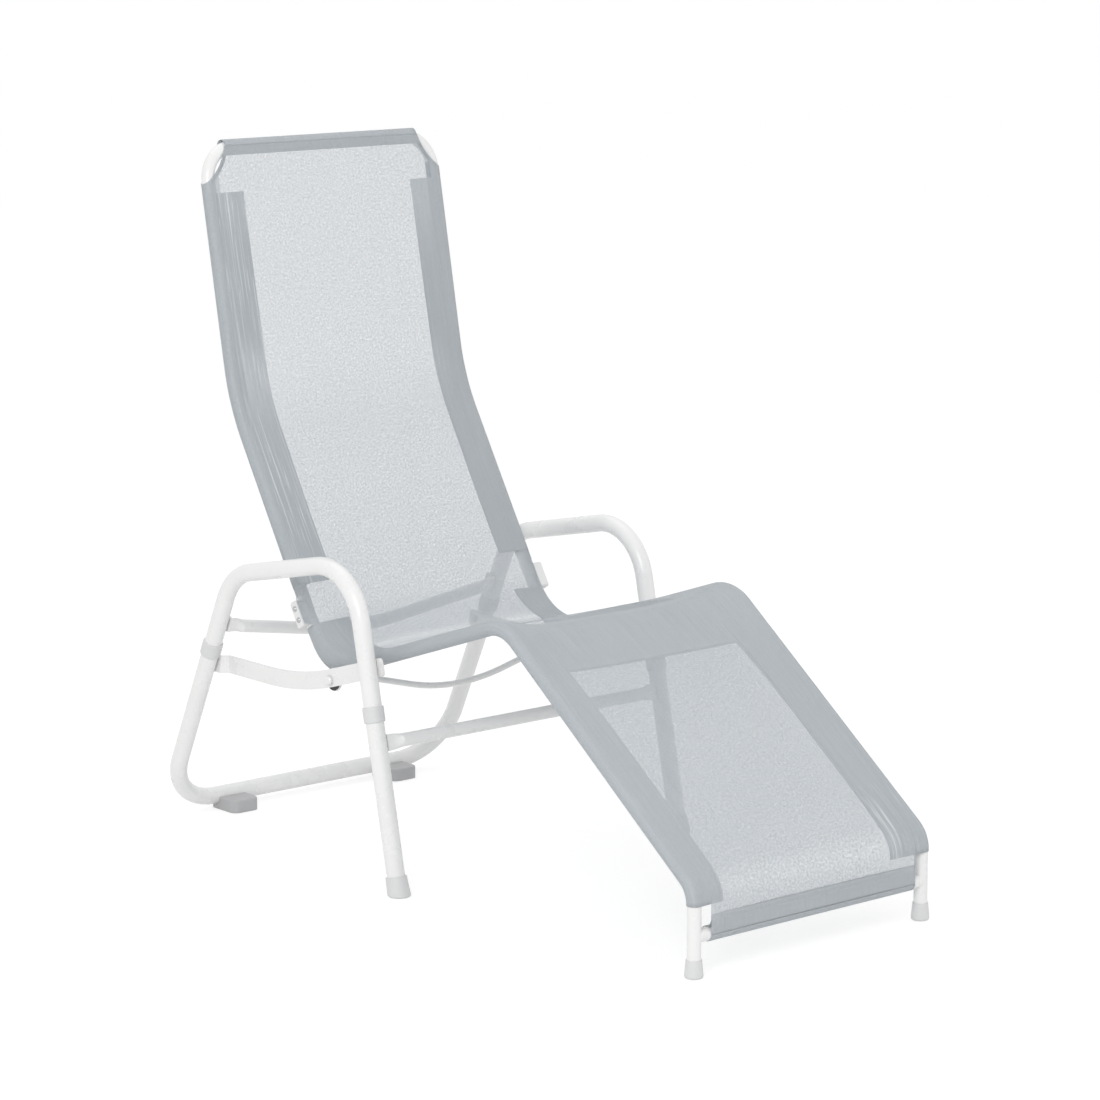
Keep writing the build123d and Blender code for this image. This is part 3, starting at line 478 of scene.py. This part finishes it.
def mesh_cloth(name, holes, tint, highlight_strength=0.0):
    """Open weave of coated yarn: square holes between the yarns of a round relief.
    holes is how near a hole's edges come to the middle of the yarns beside it,
    across and along the sheet. The last argument is how strong the highlights painted along its
    creases are."""
    mat, tree = material(name)
    out = node(tree, "ShaderNodeOutputMaterial")
    where = node(tree, "ShaderNodeUVMap", uv_map="cloth")
    split = node(tree, "ShaderNodeSeparateXYZ")
    join(tree, where, "UV", split, "Vector")
    waves = []
    hole = max(holes)
    for axis, own in zip(("X", "Y"), holes):
        scaled = node(tree, "ShaderNodeMath", {1: pi / WEAVE_PITCH}, operation="MULTIPLY")
        join(tree, split, axis, scaled, 0)
        wave = node(tree, "ShaderNodeMath", operation="COSINE")
        join(tree, scaled, "Value", wave, 0)
        size = node(tree, "ShaderNodeMath", operation="ABSOLUTE")
        join(tree, wave, "Value", size, 0)
        level = node(tree, "ShaderNodeMath", {1: hole - own}, operation="ADD")
        join(tree, size, "Value", level, 0)
        waves.append(level)
    least = node(tree, "ShaderNodeMath", operation="MINIMUM")
    join(tree, waves[0], "Value", least, 0)
    join(tree, waves[1], "Value", least, 1)
    blotch = node(tree, "ShaderNodeTexNoise", {"Scale": 260.0, "Detail": 3.0, "Roughness": 0.7})
    join(tree, where, "UV", blotch, "Vector")
    uneven = node(tree, "ShaderNodeMath", {1: 1.0, 2: -0.50}, operation="MULTIPLY_ADD")
    join(tree, blotch, "Fac", uneven, 0)
    pulled = {"From Min": S_KNEE, "From Max": S_SEAT + 0.3, "To Min": -PULL, "To Max": PULL}
    stretched = node(tree, "ShaderNodeMapRange", pulled)
    join(tree, split, "Y", stretched, "Value")
    both = node(tree, "ShaderNodeMath", operation="ADD")
    join(tree, uneven, "Value", both, 0)
    join(tree, stretched, "Result", both, 1)
    open_way = node(tree, "ShaderNodeMath", operation="ADD")
    join(tree, least, "Value", open_way, 0)
    join(tree, both, "Value", open_way, 1)
    edge = {"From Min": hole - SOFT_EDGE, "From Max": hole + SOFT_EDGE}
    cover = node(tree, "ShaderNodeMapRange", {**edge, "To Min": 1.0, "To Max": 0.0})
    join(tree, open_way, "Value", cover, "Value")
    stretch = node(tree, "ShaderNodeMapping")
    stretch.inputs["Scale"].default_value = (480.0, 6.0, 1.0)
    join(tree, where, "UV", stretch, "Vector")
    streak = node(tree, "ShaderNodeTexNoise", {"Scale": 1.0, "Detail": 2.0, "Distortion": 0.6})
    join(tree, stretch, "Vector", streak, "Vector")
    shown = mottled(tree, streak, [c * 0.88 for c in tint], [c * 1.12 for c in tint])
    # Painted highlight: pale lines mixed into the yarn's colour along lengthwise creases
    if highlight_strength:
        lines = {"From Min": 0.58, "From Max": 0.64, "To Max": highlight_strength}
        fold = node(tree, "ShaderNodeMapRange", lines)
        join(tree, streak, "Fac", fold, "Value")
        pale = node(tree, "ShaderNodeMix", data_type="RGBA")
        pale.inputs[7].default_value = (*CREASE_HIGHLIGHT, 1)
        tree.links.new(shown, pale.inputs[6])
        tree.links.new(fold.outputs["Result"], pale.inputs[0])
        shown = pale.outputs[2]
    finish = {"Roughness": 0.55, "Sheen Weight": 0.1, "Specular IOR Level": 0.35}
    yarn = node(tree, "ShaderNodeBsdfPrincipled", finish)
    tree.links.new(shown, yarn.inputs["Base Color"])
    relief = node(tree, "ShaderNodeBump", {"Strength": 0.3, "Distance": 0.0003})
    relief.invert = True
    join(tree, least, "Value", relief, "Height")
    join(tree, relief, "Normal", yarn, "Normal")
    clear = node(tree, "ShaderNodeBsdfTransparent")
    mix = node(tree, "ShaderNodeMixShader")
    join(tree, cover, "Result", mix, "Fac")
    join(tree, clear, "BSDF", mix, 1)
    join(tree, yarn, "BSDF", mix, 2)
    join(tree, mix, "Shader", out, "Surface")
    return mat


LOOKS = {
    "white_tube": coated("powder_coat", (0.85, 0.85, 0.845), 0.28, coat=0.25),
    "light_plastic": coated("light_moulding", (0.70, 0.705, 0.705), 0.42, 600, 0.06),
    "grey_plastic": coated("grey_moulding", (0.46, 0.462, 0.468), 0.5, 500, 0.08),
    "white_plastic": coated("white_moulding", (0.82, 0.82, 0.82), 0.4, 600, 0.05),
    "black_plastic": coated("black_moulding", (0.02, 0.02, 0.021), 0.4, 600, 0.05),
    "steel": steel("plated_steel"),
}
OPEN, CLOSE = (0.324, 0.468), (0.70, 0.78)
CLOTH = mesh_cloth("sling_mesh", OPEN, (0.487, 0.530, 0.566))
DOUBLED = mesh_cloth("sling_doubled_mesh", CLOSE, (0.497, 0.534, 0.563))
# The strips' cloth: a closer weave, with highlights painted along its creases
STRIP_CLOTH_WITH_HIGHLIGHTS = mesh_cloth("sling_strip_mesh_painted_highlights", CLOSE, (0.485, 0.522, 0.551), highlight_strength=0.7)
THREAD = coated("thread", (0.56, 0.59, 0.61), 0.6, 2500, 0.2)

# Every solid keeps its mesh and gets its look; the bolts' heads are painted
for row in frame["record"]["subparts"]:
    if row["node"] == "sling":
        continue
    mesh = frame["nodes"][row["node"]].data
    mesh.materials.clear()
    look = "white_tube" if row["node"] == "pivot_bolts" else row["material_slot"]
    mesh.materials.append(LOOKS[look])

# Sling: one sheet, wrapped round the rails with its side edges folded under


def mirrored(cell):
    """The same cell on the other side."""
    point = Vector((-cell.point.x, cell.point.y, cell.point.z))
    return cell._replace(point=point, x=-cell.x, v=-cell.v)


def cloth_number(s, x, side, kind):
    """Which of the sling's materials a cell has."""
    number = SINGLE
    on_pockets = S_POCKET_END < s < S_GAP_LOW or S_GAP_HIGH < s < S_STRIP_TOP
    if kind != "front" and on_pockets:
        # The strips get painted crease highlights on the upper back at one side and low on the
        # leg run at the other
        highlighted = s > S_GAP_HIGH if side < 0 else s < S_ANKLE + 0.10
        number = HIGHLIGHTED_STRIP if kind == "strip" and highlighted else TWO_LAYERS
    if S_BAND[0] < s < S_BAND[1] or not FOOT_HEM < s < sheet_route.length - HEAD_HEM:
        number = max(number, TWO_LAYERS)
    if s > S_STRIP_TOP and x > HEAD_POCKET_X:
        number = TWO_LAYERS
    return number


# The third cloth is the strips' cloth with painted crease highlights
SINGLE, TWO_LAYERS, HIGHLIGHTED_STRIP = range(3)
STATIONS = stations()
polygons = []
for side in (-1, 1):
    lines = []
    for s in STATIONS:
        columns, kinds = section(s, side)
        line = []
        v = 0.0
        for x, height in columns:
            point = place(s, x, height)
            v += (point - line[-1].point).length if line else 0.0
            line.append(Cell(point, s, v, x))
        lines.append([cell._replace(v=cell.v - line[-1].v) for cell in line])
    for low, high in zip(lines, lines[1:]):
        for j, kind in enumerate(kinds):
            corners = [low[j], low[j + 1], high[j + 1], high[j]]
            s = sum(c.s for c in corners) / 4
            x = sum(c.x for c in corners) / 4
            if cut_away(s, x, kind):
                continue
            if side < 0:
                corners = [mirrored(c) for c in reversed(corners)]
            if s > sheet_route.length - CUT_ZONE:
                corners = clip(corners, in_corner_cut)
            if kind in ("round", "outside", "flap") and S_KNEE < s < S_GAP_HIGH:
                corners = clip(corners, in_pivot_notch)
            if len(corners) > 2:
                polygons.append((corners, cloth_number(s, x, side, kind)))
sling = cloth_object("sling_cloth", polygons, [CLOTH, DOUBLED, STRIP_CLOTH_WITH_HIGHLIGHTS])


def between_folds(s, half, count):
    """Places across the sheet from fold to fold, which lie half from the middle."""
    left, right = -fold_x(half, s, -1), fold_x(half, s, 1)
    return [left + (right - left) * j / count for j in range(count + 1)]


def under_sheet(s, x):
    """A cell of the second layer, close under the sheet."""
    return Cell(place(s, x, front_height(s, x) - LAYER), s, x, x)


def layer(low, high, half, steps=60):
    """Rows of cells of a second layer between two lengths."""
    rows = []
    for i in range(steps + 1):
        s = low + (high - low) * i / steps
        rows.append([under_sheet(s, x) for x in between_folds(s, half, 40)])
    return rows


band_rows = layer(*S_BAND, 0.179)
knee_band = cloth_object("knee_band", rows_to_polygons(band_rows), [DOUBLED])


def hem(centre, outward, front, half, back):
    """Cells of a hem: from behind the sheet down round a bar and up to its front."""
    path = [centre - outward * back * k + front * (FRONT - LAYER) for k in (1.0, 0.85, 0.72)]
    for i in range(25):
        angle = radians(25 - i * 295 / 24)
        path.append(centre - outward * (ROUND_R * cos(angle)) + front * (ROUND_R * sin(angle)))
    rows = []
    s = 0.0
    for i, point in enumerate(path):
        s += (point - path[i - 1]).length if i else 0.0
        xs = [half * (j / 20 - 1) for j in range(41)]
        rows.append([Cell(Vector((x, point.x - MID, point.y)), s, x, x) for x in xs])
    return rows


head_way = sheet_route.at(sheet_route.length)[1]
head_front = Vector((-head_way.y, head_way.x))
head_rows = hem(Vector(HEAD), head_way, head_front, 0.206, HEAD_HEM)
head_hem = cloth_object("head_hem", rows_to_polygons(head_rows), [DOUBLED])
foot_rows = hem(Vector(FOOT), Vector((0, -1)), Vector((-1, 0)), 0.217, FOOT_HEM)
foot_hem = cloth_object("foot_hem", rows_to_polygons(foot_rows), [DOUBLED])


def corner_arc(radius, side, steps=24):
    """Places (length, x) along a head corner's cut, from the hem to the rail."""
    first = asin((CUT_S - sheet_route.length) / radius)
    last = acos((CUT_X - HALF) / radius)
    arc = [first + (last - first) * i / steps for i in range(steps + 1)]
    return [(CUT_S - radius * sin(a), side * (CUT_X - radius * cos(a))) for a in arc]


bindings = []
for side in (-1, 1):
    rows = []
    for radius in (CUT_R, CUT_R + 0.0035, CUT_R + 0.007):
        places = corner_arc(radius, side)
        rows.append([under_sheet(s, x) for s, x in places])
    bindings += rows_to_polygons(rows)
corner_binding = cloth_object("corner_binding", bindings, [DOUBLED])


STITCH_PITCH = 0.004
STITCH_LONG, STITCH_WIDE, STITCH_HIGH = 0.0030, 0.0007, 0.0004


def stitches(name, seams):
    """Rows of single stitches on the sheet's front, along seams of (length, x) places."""
    bm = bmesh.new()
    for seam in seams:
        points = [place(s, x, front_height(s, x) + CLOTH_T / 2 + 0.0001) for s, x in seam]
        run = 0.0
        for a, b in zip(points, points[1:]):
            way = (b - a).normalized()
            s, x = seam[0]
            up = place(s, x, 1) - place(s, x, 0)
            across = way.cross(up).normalized()
            up = across.cross(way)
            while run < (b - a).length:
                middle = a + way * run
                ends = [middle - way * STITCH_LONG / 2, middle + way * STITCH_LONG / 2]
                rim = [middle + across * STITCH_WIDE / 2, middle + up * STITCH_HIGH]
                rim += [middle - across * STITCH_WIDE / 2, middle - up * STITCH_HIGH]
                tips = [bm.verts.new(p) for p in ends]
                ring = [bm.verts.new(p) for p in rim]
                for i in range(4):
                    bm.faces.new((tips[0], ring[i], ring[i - 1]))
                    bm.faces.new((tips[1], ring[i - 1], ring[i]))
                run += STITCH_PITCH
            run -= (b - a).length
    return new_object(name, bm, [THREAD])


def level_seam(s, half):
    """A seam across the sheet."""
    return [(s, x) for x in between_folds(s, half, 40)]


def long_seam(low, high, side, x=0.1830):
    """A seam along a folded strip's inner edge."""
    count = max(int((high - low) / 0.01), 1)
    lengths = [low + (high - low) * i / count for i in range(count + 1)]
    return [(s, side * fold_x(x, s, side)) for s in lengths]


SEAM_IN = 0.003              # a seam's way in from its edge
seams = [level_seam(S_BAND[0] + SEAM_IN, 0.178), level_seam(S_BAND[1] - SEAM_IN, 0.178)]
seams.append(level_seam(sheet_route.length - HEAD_HEM + SEAM_IN, 0.204))
seams.append(level_seam(FOOT_HEM - SEAM_IN, 0.214))
for side in (-1, 1):
    seams.append(long_seam(S_POCKET_END, S_GAP_LOW, side))
    seams.append(long_seam(S_GAP_HIGH, S_STRIP_TOP, side))
    seams.append(corner_arc(CUT_R + 0.005, side))
    for s in (S_STRIP_TOP - SEAM_IN, S_GAP_HIGH + SEAM_IN, S_GAP_LOW - SEAM_IN):
        seams.append([(s, side * (0.184 + 0.0055 * i)) for i in range(9)])
seam_stitches = stitches("seam_stitches", seams)

# The sling's pieces ride on the seat, and the model's own sling is hidden
extras = (knee_band, head_hem, foot_hem, corner_binding, seam_stitches)
for piece in (sling, *extras):
    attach(piece, "seat")
    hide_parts("sling")

# Camera: position and angles follow the photograph
scene = bpy.context.scene
AZIMUTH, ELEVATION = radians(-40.2), radians(10.67)
eye = bpy.data.cameras.new("camera")
eye.lens = 123.7
eye.sensor_width = 36.0
camera = bpy.data.objects.new("camera", eye)
back = Vector((sin(AZIMUTH) * cos(ELEVATION), -cos(AZIMUTH) * cos(ELEVATION), sin(ELEVATION)))
right = Vector((cos(AZIMUTH), sin(AZIMUTH), 0))
up = back.cross(right)
camera.matrix_world = Matrix.Translation((-3.92532, -4.025 - MID, 1.6799)) @ Matrix(
    ((right.x, up.x, back.x), (right.y, up.y, back.y), (right.z, up.z, back.z))
).to_4x4()
scene.collection.objects.link(camera)
scene.camera = camera


def seen_ray(tree):
    """1 for the rays that show the backdrop: straight, mirrored or through glass."""
    path = node(tree, "ShaderNodeLightPath")
    mirrored = node(tree, "ShaderNodeMath", operation="MAXIMUM")
    join(tree, path, "Is Camera Ray", mirrored, 0)
    join(tree, path, "Is Glossy Ray", mirrored, 1)
    seen = node(tree, "ShaderNodeMath", operation="MAXIMUM")
    join(tree, mirrored, "Value", seen, 0)
    join(tree, path, "Is Transmission Ray", seen, 1)
    return seen


SEEN_GLOW = 0.55             # how much of the seen floor is its own light
SKY, BACKDROP = 0.74, 1.0    # the world's strength as light, and as it is seen

# Floor, white round the object, with only soft contact shade
floor_bm = bmesh.new()
bmesh.ops.create_grid(floor_bm, x_segments=1, y_segments=1, size=14)
mat, tree = material("floor_white")
out = node(tree, "ShaderNodeOutputMaterial")
paper = node(tree, "ShaderNodeBsdfDiffuse", {"Color": (0.9, 0.9, 0.9, 1)})
glow = node(tree, "ShaderNodeEmission", {"Color": (1, 1, 1, 1), "Strength": 1.27})
lit = node(tree, "ShaderNodeMath", {1: SEEN_GLOW}, operation="MULTIPLY")
join(tree, seen_ray(tree), "Value", lit, 0)
both = node(tree, "ShaderNodeMixShader")
join(tree, lit, "Value", both, "Fac")
join(tree, paper, "BSDF", both, 1)
join(tree, glow, "Emission", both, 2)
join(tree, both, "Shader", out, "Surface")
floor = new_object("floor", floor_bm, [mat], smooth=False)
floor.location.z = -0.0005

# World: soft white light all round
world = bpy.data.worlds.new("studio")
scene.world = world
world.use_nodes = True
tree = world.node_tree
tree.nodes.clear()
out = node(tree, "ShaderNodeOutputWorld")
sky = node(tree, "ShaderNodeBackground", {"Color": (1, 1, 1, 1), "Strength": SKY})
white = node(tree, "ShaderNodeBackground", {"Color": (1, 1, 1, 1), "Strength": BACKDROP})
mix = node(tree, "ShaderNodeMixShader")
join(tree, seen_ray(tree), "Value", mix, "Fac")
join(tree, sky, "Background", mix, 1)
join(tree, white, "Background", mix, 2)
join(tree, mix, "Shader", out, "Surface")


AIM = Vector((0, 0, 0.5))


def area(name, where, size, power):
    """A square lamp that faces the middle of the object."""
    lamp = bpy.data.lights.new(name, "AREA")
    lamp.energy = power
    lamp.size = size
    obj = bpy.data.objects.new(name, lamp)
    obj.location = where
    obj.rotation_euler = (AIM - Vector(where)).to_track_quat("-Z", "Y").to_euler()
    scene.collection.objects.link(obj)


area("key", (-3.2, -2.6, 2.8), 2.0, 68)
area("fill", (2.8, -3.0, 2.2), 3.0, 8)
area("top", (0.3, 1.5, 4.0), 3.0, 20)
scene.view_settings.view_transform = "Standard"
